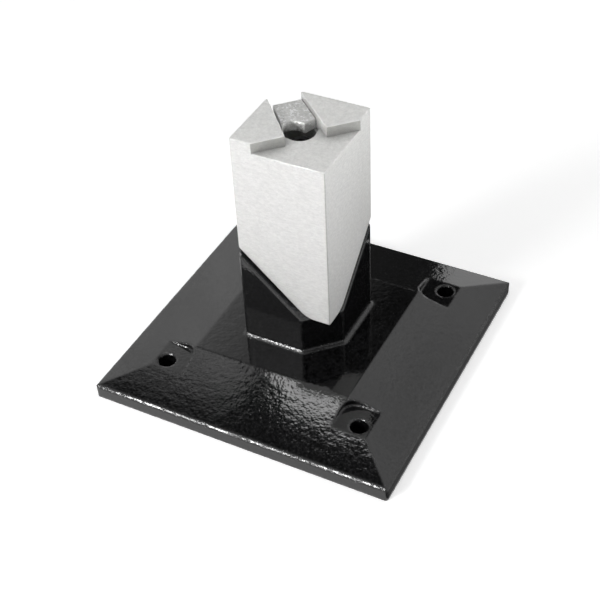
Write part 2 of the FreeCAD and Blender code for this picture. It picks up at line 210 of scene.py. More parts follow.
def raise_relief(tree: Tree, place: Socket, edge_mm: float, layers: tuple[Relief, ...]) -> Socket:
    """Rounds the edges to a small radius and lays layers of relief over the surface.

    Args:
        tree: Tree of the material.
        place: Socket of the coordinates.
        edge_mm: Radius that the coat or the blasting leaves on an edge.
        layers: Layers of relief, coarse or fine.

    Returns:
        Socket of the resulting normal.
    """
    edges = add_node(tree, "ShaderNodeBevel", {"samples": BEVEL_SAMPLES, "Radius": edge_mm * MM})
    normal = edges.outputs["Normal"]
    for layer in layers:
        bump = add_node(
            tree, "ShaderNodeBump", {"Strength": 1.0, "Distance": layer.depth_mm * MM},
            {"Height": layer.pattern(tree, place), "Normal": normal}
        )
        normal = bump.outputs["Normal"]
    return normal


@dataclass(frozen=True)
class Finish:
    """A surface finish: one shader whose colour and roughness vary a little from place to place.

    Attributes:
        name: Name of the material.
        dark: Colour of the darker places.
        light: Colour of the lighter places.
        patch_mm: Width of one patch of colour.
        metallic: Share that reflects as bare metal.
        roughness: Lowest and highest roughness.
        edge_mm: Radius that the finish leaves on an edge.
        layers: Layers of relief.
        ior: Index of refraction, which a metal leaves at Blender's own value.
        grain: Share of the finer patches in the colour, from nought to one.
        hollow_shade_mm: Reach of the painted shade in hollows, where ambient occlusion darkens the colour, or
            nought for none.
        front_face_shade: Colour multiplied into the faces that look to the front corner, as painted shade, or
            None.
        painted_glint_mm: Width of the painted glints, white points in the colour, or nought for none.
        streak: How the patches of colour are scaled along each axis.
        bead_mm: Width of the beads that the coat draws into along an edge, or nought for none.
        rim_mm: Height below which rounded edges bead as sharp ones do.
    """

    name: str
    dark: str
    light: str
    patch_mm: float
    metallic: float
    roughness: tuple[float, float]
    edge_mm: float
    layers: tuple[Relief, ...]
    ior: float = 1.5
    grain: float = 0.5
    hollow_shade_mm: float = 0.0
    front_face_shade: str | None = None
    painted_glint_mm: float = 0.0
    streak: Triple = (1.0, 1.0, 1.0)
    bead_mm: float = 0.0
    rim_mm: float = 0.0

    def build(self) -> bpy.types.Material:
        """Makes the material.

        Returns:
            The finished material.
        """
        material, tree, place, surface = new_material(self.name)
        run = add_node(tree, "ShaderNodeMapping", {"Scale": self.streak}, {"Vector": place})
        patches = add_node(
            tree, "ShaderNodeTexNoise",
            {"Scale": per_metre(self.patch_mm), "Detail": 4.0, "Roughness": self.grain},
            {"Vector": run.outputs["Vector"]}
        )
        spread = add_node(
            tree, "ShaderNodeMapRange", {"From Min": NOISE_LOW, "From Max": NOISE_HIGH},
            {"Value": patches.outputs["Fac"]}
        ).outputs["Result"]
        low, high = self.roughness
        gloss = add_node(
            tree, "ShaderNodeMapRange", {"To Min": low, "To Max": high}, {"Value": spread}
        ).outputs["Result"]
        shader = add_node(
            tree, "ShaderNodeBsdfPrincipled", {"Metallic": self.metallic, "IOR": self.ior},
            {
                "Base Color": self.colour(tree, place, spread),
                "Roughness": self.beaded(tree, place, gloss) if self.bead_mm else gloss,
                "Normal": raise_relief(tree, place, self.edge_mm, self.layers),
            }
        )
        tree.links.new(shader.outputs["BSDF"], surface)
        return material

    def beaded(self, tree: Tree, place: Socket, gloss: Socket) -> Socket:
        """Dulls the edges between the beads that the coat draws into.

        Args:
            tree: Tree of the material.
            place: Socket of the coordinates.
            gloss: Socket of the roughness away from the edges.

        Returns:
            Socket of the roughness.
        """
        rounded = add_node(tree, "ShaderNodeBevel", {"samples": BEVEL_SAMPLES, "Radius": self.edge_mm * MM})
        facing = add_node(tree, "ShaderNodeNewGeometry").outputs["True Normal"]
        turned = add_node(
            tree, "ShaderNodeVectorMath", {"operation": "DOT_PRODUCT"},
            {0: rounded.outputs["Normal"], 1: facing}
        )
        sharp = add_node(
            tree, "ShaderNodeMapRange", {"From Min": EDGE_START, "From Max": EDGE_FULL},
            {"Value": turned.outputs["Value"]}
        )
        apart = add_node(tree, "ShaderNodeSeparateXYZ", links={0: facing})
        steep = add_node(
            tree, "ShaderNodeMath", {"operation": "COMPARE", 1: ROUND_MIDDLE, 2: ROUND_REACH},
            {0: apart.outputs["Z"]}
        )
        low = add_node(
            tree, "ShaderNodeMath", {"operation": "LESS_THAN", 1: self.rim_mm * MM},
            {0: add_node(tree, "ShaderNodeSeparateXYZ", links={0: place}).outputs["Z"]}
        )
        rim = add_node(
            tree, "ShaderNodeMath", {"operation": "MULTIPLY"}, {0: steep.outputs[0], 1: low.outputs[0]}
        )
        edge = add_node(
            tree, "ShaderNodeMath", {"operation": "MAXIMUM"}, {0: sharp.outputs["Result"], 1: rim.outputs[0]}
        )
        beads = add_node(
            tree, "ShaderNodeTexNoise", {"Scale": per_metre(self.bead_mm), "Detail": 1.0}, {"Vector": place}
        )
        between = add_node(
            tree, "ShaderNodeMapRange", {"From Min": BEAD_END, "From Max": GAP_FULL},
            {"Value": beads.outputs["Fac"]}
        )
        dull = add_node(
            tree, "ShaderNodeMath", {"operation": "MULTIPLY"},
            {0: edge.outputs[0], 1: between.outputs["Result"]}
        )
        return add_node(
            tree, "ShaderNodeMapRange", {"To Max": GAP_ROUGHNESS}, {"Value": dull.outputs[0], "To Min": gloss}
        ).outputs["Result"]

    def colour(self, tree: Tree, place: Socket, spread: Socket) -> Socket:
        """Adds the colour, with its painted glints, its painted shade on the faces that look to the front
        corner and its painted shade in hollows, where the finish has them.

        Args:
            tree: Tree of the material.
            place: Socket of the coordinates.
            spread: Socket of the pattern, from nought at the dark places to one at the light ones.

        Returns:
            Socket of the colour.
        """
        dark, light = linear(self.dark), linear(self.light)
        tint = add_node(tree, "ShaderNodeMix", {"data_type": "RGBA", 6: dark, 7: light}, {0: spread}).outputs[2]
        # Painted glints: white points mixed into the colour where a fine noise is high, standing for glints
        if self.painted_glint_mm:
            points = add_node(
                tree, "ShaderNodeTexNoise", {"Scale": per_metre(self.painted_glint_mm), "Detail": 1.0},
                {"Vector": place}
            )
            painted_glint = add_node(
                tree, "ShaderNodeMapRange", {"From Min": PAINTED_GLINT_START, "From Max": PAINTED_GLINT_FULL},
                {"Value": points.outputs["Fac"]}
            )
            tint = add_node(
                tree, "ShaderNodeMix", {"data_type": "RGBA", 7: linear("#ffffff")},
                {0: painted_glint.outputs["Result"], 6: tint}
            ).outputs[2]
        # Painted shade: a darker colour is multiplied into the faces that look to the front corner
        if self.front_face_shade:
            facing = add_node(
                tree, "ShaderNodeVectorMath", {"operation": "DOT_PRODUCT", 1: TO_FRONT_CORNER},
                {0: add_node(tree, "ShaderNodeNewGeometry").outputs["True Normal"]}
            )
            left = add_node(
                tree, "ShaderNodeMapRange", {"From Min": FRONT_SHADE_START, "From Max": FRONT_SHADE_FULL},
                {"Value": facing.outputs["Value"]}
            )
            front_face_shade = add_node(
                tree, "ShaderNodeMix",
                {"data_type": "RGBA", "blend_type": "MULTIPLY", 7: linear(self.front_face_shade)},
                {0: left.outputs["Result"], 6: tint}
            )
            tint = front_face_shade.outputs[2]
        # Painted shade: ambient occlusion darkens the colour in hollows and near other parts
        if self.hollow_shade_mm:
            hollow = add_node(
                tree, "ShaderNodeAmbientOcclusion",
                {"samples": HOLLOW_SHADE_SAMPLES, "Distance": self.hollow_shade_mm * MM}, {"Color": tint}
            )
            tint = hollow.outputs["Color"]
        return tint


# Powder coat, baked on a casting: thick and glossy, with an orange peel of lumps about 2 mm wide.
# Along the edges it draws into beads, which break up the line of light there
BLACK_COAT = Finish(
    name="gloss_black_powder_coat", dark="#010101", light="#1c1c1d", patch_mm=1.6, metallic=0.0,
    roughness=(0.03, 0.09), edge_mm=2.2,
    layers=(Relief(6.0, 0.05), Relief(2.2, 0.036), Relief(1.2, 0.018)),
    ior=1.6, bead_mm=3.0, rim_mm=10.0,
)

# Cast aluminium, blasted: light grey and matt, with a fine even grain and the faint lines of its mould.
# The grain is drawn at about 1 mm, coarser than grit leaves it, so that it shows
BLASTED_ALUMINIUM = Finish(
    name="blasted_cast_aluminium", dark="#d2d2d0", light="#eeeeec", patch_mm=1.5, metallic=0.2,
    roughness=(0.45, 0.60), edge_mm=0.7,
    layers=(Relief(2.4, 0.05, detail=3.0, stretch=(0.3, 0.3, 1.6)), Relief(0.9, 0.07, detail=2.0)),
    # Painted shade: the colour is darkened in hollows and on the faces that look to the front corner
    grain=0.85, hollow_shade_mm=9.0, front_face_shade="#dededc", streak=(0.55, 0.55, 1.3),
)

# The same metal as it left the mould: lumpy, with painted glints, white points in its colour that stand for the
# glints of its lumps
ROUGH_ALUMINIUM = Finish(
    name="rough_cast_aluminium", dark="#cbcbc9", light="#f4f4f2", patch_mm=1.8, metallic=0.1,
    roughness=(0.25, 0.45), edge_mm=0.4,
    layers=(Relief(2.2, 0.12, detail=2.0), Relief(0.8, 0.08, detail=2.0)), grain=0.8, painted_glint_mm=1.6,
)

# Steel with an oiled black oxide skin: nearly black, with a dull shine
BLACK_STEEL = Finish(
    name="black_oxide_steel", dark="#161617", light="#232324", patch_mm=4.0, metallic=0.6,
    roughness=(0.35, 0.50), edge_mm=0.2, layers=(Relief(0.5, 0.006, detail=2.0),),
)

# Zinc plate on pressed steel: a cool grey with a soft shine
ZINC_PLATE = Finish(
    name="zinc_plated_steel", dark="#9fa3a5", light="#b9bcbc", patch_mm=5.0, metallic=1.0,
    roughness=(0.30, 0.42), edge_mm=0.2, layers=(Relief(0.8, 0.006, detail=2.0),),
)


def dress_node(node: str, material: bpy.types.Material) -> None:
    """Gives a solid of the frame a finish.

    Args:
        node: Name of the frame's node.
        material: Finish for all of it.
    """
    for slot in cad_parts[node].material_slots:
        slot.material = material
    log.info("%s dressed with %s", node, material.name)


def new_shape_tree(name: str, sizes: tuple[str, ...]) -> tuple[
        Tree, dict[str, Socket], Callable[[Socket], None]]:
    """Starts a tree that shapes a piece from named sizes.

    Args:
        name: Name of the tree.
        sizes: Names of its sizes, each a number.

    Returns:
        The tree, its input sockets by name, and a function that ends the tree with a given shape.
    """
    tree = bpy.data.node_groups.new(name, "GeometryNodeTree")
    tree.interface.new_socket("Geometry", in_out="INPUT", socket_type="NodeSocketGeometry")
    for size in sizes:
        tree.interface.new_socket(size, in_out="INPUT", socket_type="NodeSocketFloat")
    tree.interface.new_socket("Material", in_out="INPUT", socket_type="NodeSocketMaterial")
    tree.interface.new_socket("Geometry", in_out="OUTPUT", socket_type="NodeSocketGeometry")
    given = {socket.name: socket for socket in add_node(tree, "NodeGroupInput").outputs if socket.name}

    def end(shape: Socket) -> None:
        """Ends the tree in a plain mesh with its finish.

        Args:
            shape: Socket of the shape.
        """
        plain = add_node(tree, "GeometryNodeRealizeInstances", links={0: shape})
        dressed = add_node(
            tree, "GeometryNodeSetMaterial",
            links={"Geometry": plain.outputs[0], "Material": given["Material"]}
        )
        add_node(tree, "NodeGroupOutput", links={0: dressed.outputs[0]})

    return tree, given, end


def shape_by_nodes(blank: bpy.types.Object, tree: Tree, sizes: dict[str, float],
                   material: bpy.types.Material) -> bpy.types.Mesh:
    """Runs a shaping tree on an object and keeps the result.

    Args:
        blank: Object that the tree works on.
        tree: Tree with named sizes and a material as its inputs.
        sizes: Value of each size.
        material: Finish of the piece.

    Returns:
        Plain mesh of the shaped piece.
    """
    modifier = blank.modifiers.new(tree.name, "NODES")
    modifier.node_group = tree
    for item in tree.interface.items_tree:
        if item.in_out == "INPUT" and item.name in sizes:
            modifier[item.identifier] = sizes[item.name]
        elif item.in_out == "INPUT" and item.name == "Material":
            modifier[item.identifier] = material
    shaped = blank.evaluated_get(bpy.context.evaluated_depsgraph_get())
    mesh = bpy.data.meshes.new_from_object(shaped)
    blank.modifiers.remove(modifier)
    return mesh


def present(name: str, mesh: bpy.types.Mesh, body: Body, node: str) -> None:
    """Shows a made piece in place of a solid of the frame.

    Args:
        name: Name of the piece.
        mesh: Its mesh, in place.
        body: Body that it rides on.
        node: Solid that it replaces.
    """
    mesh.shade_smooth()
    mesh.set_sharp_from_angle(angle=SHARP_ANGLE)
    piece = new_object(name, mesh)
    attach(piece, body.value)
    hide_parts(node)
    log.info("%s made with %d faces in place of %s", name, len(mesh.polygons), node)


def draw_in(tree: Tree, tube: Socket, depth: Socket, radius: Socket, height: Socket) -> Socket:
    """Draws the points of a tube in towards its axis and puts them at their height.

    Args:
        tree: Tree that the nodes join.
        tube: Socket of the tube.
        depth: Socket of how far in each point goes.
        radius: Socket of the tube's radius.
        height: Socket of each point's height.

    Returns:
        Socket of the drawn tube.
    """
    share = add_node(tree, "ShaderNodeMath", {"operation": "DIVIDE"}, {0: depth, 1: radius})
    narrow = add_node(tree, "ShaderNodeMath", {"operation": "SUBTRACT", 0: 1.0}, {1: share.outputs[0]})
    inward = add_node(tree, "ShaderNodeCombineXYZ", links={"X": narrow.outputs[0], "Y": narrow.outputs[0]})
    upward = add_node(tree, "ShaderNodeCombineXYZ", links={"Z": height})
    place = add_node(tree, "GeometryNodeInputPosition").outputs[0]
    moved = add_node(
        tree, "ShaderNodeVectorMath", {"operation": "MULTIPLY_ADD"},
        {0: place, 1: inward.outputs[0], 2: upward.outputs[0]}
    )
    return add_node(
        tree, "GeometryNodeSetPosition", links={"Geometry": tube, "Position": moved.outputs[0]}
    ).outputs[0]


@dataclass
class BaseCasting:
    """Plate and stub, cast in one piece and powder coated."""

    finish: Finish = BLACK_COAT

    def dress(self) -> None:
        """Gives the casting its coat."""
        dress_node("base", self.finish.build())


@dataclass
class WedgeBlock:
    """Bare block that slides on the stub's slant, with the rough keeper plate in its channel.

    Attributes:
        block_finish: Finish of the block.
        keeper_finish: Finish of the keeper.
        cell: Size in metres of the cells that the keeper's faces are cut into.
        lump_depth: Depth in metres of the hollows in the keeper's top.
        lump_width: Width in metres of one hollow.
        seed: Seed of the hollows' pattern.
    """

    block_finish: Finish = BLASTED_ALUMINIUM
    keeper_finish: Finish = ROUGH_ALUMINIUM
    cell: float = 0.45 * MM
    lump_depth: float = 0.55 * MM
    lump_width: float = 2.2 * MM
    seed: float = 3.0

    def dress(self) -> None:
        """Dresses the block and makes the keeper's rough top."""
        dress_node("wedge_block", self.block_finish.build())
        self.build_keeper()

    def build_keeper(self) -> None:
        """Makes the keeper from its solid, cut into small cells whose top is pitted."""
        blank = new_object("keeper_blank", self.cut_cells(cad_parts["keeper"].data))
        sizes = {"Pit Depth": self.lump_depth, "Pit Width": self.lump_width, "Seed": self.seed}
        mesh = shape_by_nodes(blank, self.pitted_top(), sizes, self.keeper_finish.build())
        bpy.data.objects.remove(blank)
        present("rough_keeper", mesh, Body.WEDGE, "keeper")

    def cut_cells(self, solid: bpy.types.Mesh) -> bpy.types.Mesh:
        """Cuts a copy of a solid's mesh along a grid.

        Args:
            solid: Mesh of loose triangles.

        Returns:
            Merged copy with edges along the grid.
        """
        work = bmesh.new()
        work.from_mesh(solid)
        bmesh.ops.remove_doubles(work, verts=work.verts, dist=MERGE_DISTANCE)
        for axis in (0, 1):
            places = [vert.co[axis] for vert in work.verts]
            count = int((max(places) - min(places)) / self.cell)
            normal = Vector((1 - axis, axis, 0))
            for step in range(1, count + 1):
                at = normal * (min(places) + step * self.cell)
                bmesh.ops.bisect_plane(
                    work, geom=[*work.verts, *work.edges, *work.faces], plane_co=at, plane_no=normal,
                    dist=CUT_DISTANCE
                )
        mesh = bpy.data.meshes.new("keeper_cells")
        work.to_mesh(mesh)
        work.free()
        return mesh

    def pitted_top(self) -> Tree:
        """Makes the tree that sinks pits into the faces that look up.

        Returns:
            The tree, with inputs for the pits' depth, width and seed.
        """
        tree, given, result = new_shape_tree("pitted_top", ("Pit Depth", "Pit Width", "Seed"))
        scale = add_node(tree, "ShaderNodeMath", {"operation": "DIVIDE", 0: 1.0}, {1: given["Pit Width"]})
        noise = add_node(
            tree, "ShaderNodeTexNoise", {"noise_dimensions": "4D", "Detail": 2.0, "Roughness": 0.6},
            {"Scale": scale.outputs[0], "W": given["Seed"]}
        )
        upward = add_node(
            tree, "ShaderNodeSeparateXYZ", links={0: add_node(tree, "GeometryNodeInputNormal").outputs[0]}
        )
        on_top = add_node(
            tree, "FunctionNodeCompare", {"operation": "GREATER_THAN", 1: UPWARD}, {0: upward.outputs["Z"]}
        )
        depth = add_node(
            tree, "ShaderNodeMath", {"operation": "MULTIPLY"}, {0: noise.outputs["Fac"], 1: given["Pit Depth"]}
        )
        shift = add_node(
            tree, "ShaderNodeVectorMath", {"operation": "SCALE", 0: (0.0, 0.0, -1.0)},
            {"Scale": depth.outputs[0]}
        )
        pitted = add_node(
            tree, "GeometryNodeSetPosition", links={
                "Geometry": given["Geometry"], "Selection": on_top.outputs[0], "Offset": shift.outputs[0],
            }
        )
        result(pitted.outputs[0])
        return tree


@dataclass
class DrawBolt:
    """Socket head screw and its washer.

    Attributes:
        bolt_finish: Finish of the screw.
        washer_finish: Finish of the washer.
        shank: Outside diameter of the thread, in metres.
        pitch: Rise of the thread in one turn.
        thread_depth: Depth of the thread.
        thread_length: Length of the threaded end.
        head: Diameter of the head.
        head_height: Height of the head.
        head_bevel: Bevel round the head's top.
        knurls: How many grooves run down the head's side.
        knurl_depth: Depth of one groove.
        socket: Width across the flats of the key's socket.
        socket_depth: Depth of the socket.
        facets: How many facets go round the shank.
        rows: How many rows of points one turn of the thread has.
        head_rows: How many rows of faces the head's side has.
    """

    bolt_finish: Finish = BLACK_STEEL
    washer_finish: Finish = ZINC_PLATE
    shank: float = 8.0 * MM
    pitch: float = 1.25 * MM
    thread_depth: float = 0.65 * MM
    thread_length: float = 33.0 * MM
    head: float = 13.0 * MM
    head_height: float = 8.0 * MM
    head_bevel: float = 0.8 * MM
    knurls: int = 60
    knurl_depth: float = 0.18 * MM
    socket: float = 6.0 * MM
    socket_depth: float = 4.0 * MM
    facets: int = 32
    rows: int = 8
    head_rows: int = 10

    def dress(self) -> None:
        """Makes the screw with its thread and head, and dresses the washer."""
        self.build_bolt()
        dress_node("washer", self.washer_finish.build())

    def build_bolt(self) -> None:
        """Makes the screw where its solid stands."""
        low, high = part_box("draw_bolt")
        seat = high[2] - self.head_height
        blank = new_object("bolt_blank", bpy.data.meshes.new("bolt_blank"))
        sizes = {
            "Tip": low[2], "Seat": seat, "Top": high[2], "Shank Radius": self.shank / 2, "Pitch": self.pitch,
            "Thread Depth": self.thread_depth, "Thread End": low[2] + self.thread_length,
            "Head Radius": self.head / 2, "Head Bevel": self.head_bevel, "Knurl Depth": self.knurl_depth,
            "Socket Radius": self.socket / math.sqrt(3), "Socket Depth": self.socket_depth,
        }
        tree = self.screw_tree(tuple(sizes), seat - low[2])
        mesh = shape_by_nodes(blank, tree, sizes, self.bolt_finish.build())
        bpy.data.objects.remove(blank)
        present("threaded_bolt", mesh, Body.BOLT, "draw_bolt")

    def screw_tree(self, names: tuple[str, ...], length: float) -> Tree:
        """Makes the tree of the whole screw.

        Args:
            names: Names of the tree's sizes.
            length: Length of the shank in metres, which sets how many rows of points it needs.

        Returns:
            The tree, which takes no geometry.
        """
        tree, given, result = new_shape_tree("socket_head_screw", names)
        both = add_node(tree, "GeometryNodeJoinGeometry")
        for part in (self.shank_part(tree, given, length), self.head_part(tree, given)):
            tree.links.new(part, both.inputs[0])
        result(both.outputs[0])
        return tree

    def shank_part(self, tree: Tree, given: dict[str, Socket], length: float) -> Socket:
        """Adds the shank, whose radius follows the thread's turns up to the thread's end.

        Args:
            tree: Tree that the nodes join.
            given: Sockets of the tree's sizes.
            length: Length of the shank in metres.

        Returns:
            Socket of the shank's geometry.
        """
        rows = round(length / self.pitch * self.rows)
        depth = add_node(
            tree, "ShaderNodeMath", {"operation": "SUBTRACT"}, {0: given["Seat"], 1: given["Tip"]}
        ).outputs[0]
        tube = add_node(
            tree, "GeometryNodeMeshCylinder", {"Vertices": self.facets, "Side Segments": rows},
            {"Radius": given["Shank Radius"], "Depth": depth}
        )
        apart = add_node(
            tree, "ShaderNodeSeparateXYZ", links={0: add_node(tree, "GeometryNodeInputPosition").outputs[0]}
        ).outputs
        rise = add_node(
            tree, "ShaderNodeMath", {"operation": "MULTIPLY_ADD", 1: 0.5}, {0: depth, 2: apart["Z"]}
        ).outputs[0]
        height = add_node(tree, "ShaderNodeMath", {"operation": "ADD"}, {0: rise, 1: given["Tip"]}).outputs[0]
        angle = add_node(tree, "ShaderNodeMath", {"operation": "ARCTAN2"}, {0: apart["Y"], 1: apart["X"]})
        turn = add_node(tree, "ShaderNodeMath", {"operation": "DIVIDE", 1: FULL_TURN}, {0: angle.outputs[0]})
        turns_up = add_node(tree, "ShaderNodeMath", {"operation": "DIVIDE"}, {0: rise, 1: given["Pitch"]})
        ahead = add_node(
            tree, "ShaderNodeMath", {"operation": "SUBTRACT"}, {0: turns_up.outputs[0], 1: turn.outputs[0]}
        )
        phase = add_node(tree, "ShaderNodeMath", {"operation": "FRACT"}, {0: ahead.outputs[0]})
        swing = add_node(
            tree, "ShaderNodeMath", {"operation": "MULTIPLY_ADD", 1: 2.0, 2: -1.0}, {0: phase.outputs[0]}
        )
        flank = add_node(tree, "ShaderNodeMath", {"operation": "ABSOLUTE"}, {0: swing.outputs[0]})
        groove = add_node(
            tree, "ShaderNodeMapRange", {"From Min": CREST, "From Max": ROOT}, {"Value": flank.outputs[0]}
        )
        below_end = add_node(
            tree, "ShaderNodeMath", {"operation": "SUBTRACT"}, {0: given["Thread End"], 1: height}
        )
        run_out = add_node(
            tree, "ShaderNodeMapRange", {"From Max": 2 * self.pitch}, {"Value": below_end.outputs[0]}
        )
        point = add_node(
            tree, "ShaderNodeMapRange", {"To Min": 1.0, "To Max": 0.0},
            {"Value": rise, "From Max": given["Thread Depth"]}
        )
        faded = add_node(
            tree, "ShaderNodeMath", {"operation": "MULTIPLY"},
            {0: groove.outputs["Result"], 1: run_out.outputs["Result"]}
        )
        deepest = add_node(
            tree, "ShaderNodeMath", {"operation": "MAXIMUM"}, {0: faded.outputs[0], 1: point.outputs["Result"]}
        )
        cut = add_node(
            tree, "ShaderNodeMath", {"operation": "MULTIPLY"}, {0: deepest.outputs[0], 1: given["Thread Depth"]}
        )
        return draw_in(tree, tube.outputs["Mesh"], cut.outputs[0], given["Shank Radius"], height)

    def head_part(self, tree: Tree, given: dict[str, Socket]) -> Socket:
        """Adds the head: a grooved drum with a bevelled top and a six-sided socket.

        Args:
            tree: Tree that the nodes join.
            given: Sockets of the tree's sizes.

        Returns:
            Socket of the head's geometry.
        """
        height = add_node(
            tree, "ShaderNodeMath", {"operation": "SUBTRACT"}, {0: given["Top"], 1: given["Seat"]}
        ).outputs[0]
        drum = add_node(
            tree, "GeometryNodeMeshCylinder", {"Vertices": 2 * self.knurls, "Side Segments": self.head_rows},
            {"Radius": given["Head Radius"], "Depth": height}
        )
        apart = add_node(
            tree, "ShaderNodeSeparateXYZ", links={0: add_node(tree, "GeometryNodeInputPosition").outputs[0]}
        ).outputs
        turn = add_node(tree, "ShaderNodeMath", {"operation": "ARCTAN2"}, {0: apart["Y"], 1: apart["X"]})
        ridge = add_node(
            tree, "ShaderNodeMath", {"operation": "MULTIPLY", 1: float(self.knurls)}, {0: turn.outputs[0]}
        )
        wave = add_node(tree, "ShaderNodeMath", {"operation": "COSINE"}, {0: ridge.outputs[0]})
        groove = add_node(
            tree, "ShaderNodeMapRange", {"From Min": 1.0, "From Max": -1.0},
            {"Value": wave.outputs[0], "To Max": given["Knurl Depth"]}
        )
        half = add_node(tree, "ShaderNodeMath", {"operation": "MULTIPLY", 1: 0.5}, {0: height}).outputs[0]
        brink = add_node(tree, "ShaderNodeMath", {"operation": "SUBTRACT"}, {0: half, 1: given["Head Bevel"]})
        bevel = add_node(tree, "ShaderNodeMapRange", links={
            "Value": apart["Z"], "From Min": brink.outputs[0], "From Max": half, "To Max": given["Head Bevel"],
        })
        inward = add_node(
            tree, "ShaderNodeMath", {"operation": "MAXIMUM"},
            {0: groove.outputs["Result"], 1: bevel.outputs["Result"]}
        )
        middle = add_node(tree, "ShaderNodeMath", {"operation": "ADD"}, {0: half, 1: given["Seat"]})
        level = add_node(tree, "ShaderNodeMath", {"operation": "ADD"}, {0: apart["Z"], 1: middle.outputs[0]})
        blank = draw_in(tree, drum.outputs["Mesh"], inward.outputs[0], given["Head Radius"], level.outputs[0])
        deep = add_node(tree, "ShaderNodeMath", {"operation": "MULTIPLY", 1: 2.0}, {0: given["Socket Depth"]})
        key = add_node(
            tree, "GeometryNodeMeshCylinder", {"Vertices": KEY_SIDES},
            {"Radius": given["Socket Radius"], "Depth": deep.outputs[0]}
        )
        at_top = add_node(tree, "ShaderNodeCombineXYZ", links={"Z": given["Top"]})
        placed = add_node(
            tree, "GeometryNodeTransform",
            links={"Geometry": key.outputs["Mesh"], "Translation": at_top.outputs[0]}
        )
        hollow = add_node(
            tree, "GeometryNodeMeshBoolean", {"operation": "DIFFERENCE"}, {0: blank, 1: placed.outputs[0]}
        )
        return hollow.outputs[0]


@dataclass(frozen=True)
class Softbox:
    """An oblong lamp that faces the object and that reflections leave out, since panels stand for it there.

    Attributes:
        name: Name of the lamp.
        place: Its middle in metres.
        width: Its level side in metres.
        height: Its other side in metres.
        radiance: Brightness of its face, where one is white, before a grid gathers it.
        aim: Point that it faces, or None for the studio's own.
        spread: Degrees across its beam, as a grid on its front narrows it.
    """

    name: str
    place: Triple
    width: float
    height: float
    radiance: float
    aim: Triple | None = None
    spread: float = 180.0

    def build(self, target: Vector) -> None:
        """Places the lamp.

        Args:
            target: Point that it faces where it has none of its own.
        """
        aim = Vector(self.aim) if self.aim else target
        data = bpy.data.lights.new(self.name, "AREA")
        data.shape = "RECTANGLE"
        data.size = self.width
        data.size_y = self.height
        data.energy = self.radiance * math.pi * self.width * self.height
        data.spread = math.radians(self.spread)
        lamp = new_object(self.name, data)
        lamp.location = self.place
        lamp.rotation_mode = "QUATERNION"
        lamp.rotation_quaternion = (Vector(self.place) - aim).to_track_quat("Z", "Y")
        lamp.visible_camera = lamp.visible_glossy = False


class Axis(Enum):
    """Axis along which a panel fades."""

    X = "X"
    Y = "Y"


class Shown(Enum):
    """Which reflections a panel shows in: all of them, first ones, or the reflections of reflections."""

    ALL = "all"
    FIRST = "first"
    LATER = "later"


@dataclass(frozen=True)
class Flag:
    """A panel that only reflections see, as a studio hangs beside glossy things.

    Attributes:
        name: Name of the panel.
        corners: Its corners in metres.
        levels: Its brightness at the two places where it fades.
        fade: Where along its axis it goes from the first level to the second, in metres.
        axis: Axis along which it fades.
        folds: How far the folds of its cloth take it from that brightness. Over one, some of them are black.
        fold_mm: Width of one fold.
        hanging: Whether the folds run straight down, so that they change along X alone.
        shown: Which reflections it shows in.
    """

    name: str
    corners: tuple[Triple, ...]
    levels: tuple[float, float]
    fade: tuple[float, float] = (0.0, 1.0)
    axis: Axis = Axis.X
    folds: float = 0.0
    fold_mm: float = 18.0
    hanging: bool = False
    shown: Shown = Shown.ALL

    def build(self) -> None:
        """Hangs the panel."""
        mesh = bpy.data.meshes.new(self.name)
        mesh.from_pydata(self.corners, [], [tuple(range(len(self.corners)))])
        panel = new_object(self.name, mesh)
        material, tree, place, surface = new_material(self.name + "_cloth")
        along = add_node(tree, "ShaderNodeSeparateXYZ", links={"Vector": place}).outputs[self.axis.value]
        start, end = self.fade
        level = add_node(
            tree, "ShaderNodeMapRange",
            {"From Min": start, "From Max": end, "To Min": self.levels[0], "To Max": self.levels[1]},
            {"Value": along}
        )
        across = 0.0 if self.hanging else 1.0
        run = add_node(tree, "ShaderNodeMapping", {"Scale": (1.0, across, across)}, {"Vector": place})
        cloth = add_node(
            tree, "ShaderNodeTexNoise", {"Scale": per_metre(self.fold_mm), "Detail": 1.0},
            {"Vector": run.outputs["Vector"]}
        )
        uneven = add_node(
            tree, "ShaderNodeMapRange",
            {
                "From Min": NOISE_LOW, "From Max": NOISE_HIGH,
                "To Min": 1 - self.folds, "To Max": 1 + self.folds,
            },
            {"Value": cloth.outputs["Fac"]}
        )
        lit = add_node(tree, "ShaderNodeMath", {"operation": "MAXIMUM", 1: 0.0}, {0: uneven.outputs["Result"]})
        strength = add_node(
            tree, "ShaderNodeMath", {"operation": "MULTIPLY"}, {0: level.outputs["Result"], 1: lit.outputs[0]}
        )
        glow = add_node(tree, "ShaderNodeEmission", links={"Strength": strength.outputs[0]})
        if self.shown is not Shown.ALL:
            later = add_node(
                tree, "ShaderNodeMath", {"operation": "GREATER_THAN", 1: FIRST_DEPTH},
                {0: add_node(tree, "ShaderNodeLightPath").outputs["Ray Depth"]}
            )
            clear = add_node(tree, "ShaderNodeBsdfTransparent")
            early, late = (glow, clear) if self.shown is Shown.FIRST else (clear, glow)
            glow = add_node(
                tree, "ShaderNodeMixShader",
                links={0: later.outputs[0], 1: early.outputs[0], 2: late.outputs[0]}
            )
        tree.links.new(glow.outputs[0], surface)
        mesh.materials.append(material)
        panel.visible_camera = panel.visible_diffuse = panel.visible_shadow = False
        panel.visible_transmission = False


def level_corners(left: float, right: float, front: float, back: float, height: float) -> tuple[Triple, ...]:
    """Gives the corners of a level panel.

    Args:
        left: Its lowest X in metres.
        right: Its highest X.
        front: Its lowest Y.
        back: Its highest Y.
        height: Its height above the floor.

    Returns:
        Four corners in order.
    """
    return (left, front, height), (right, front, height), (right, back, height), (left, back, height)


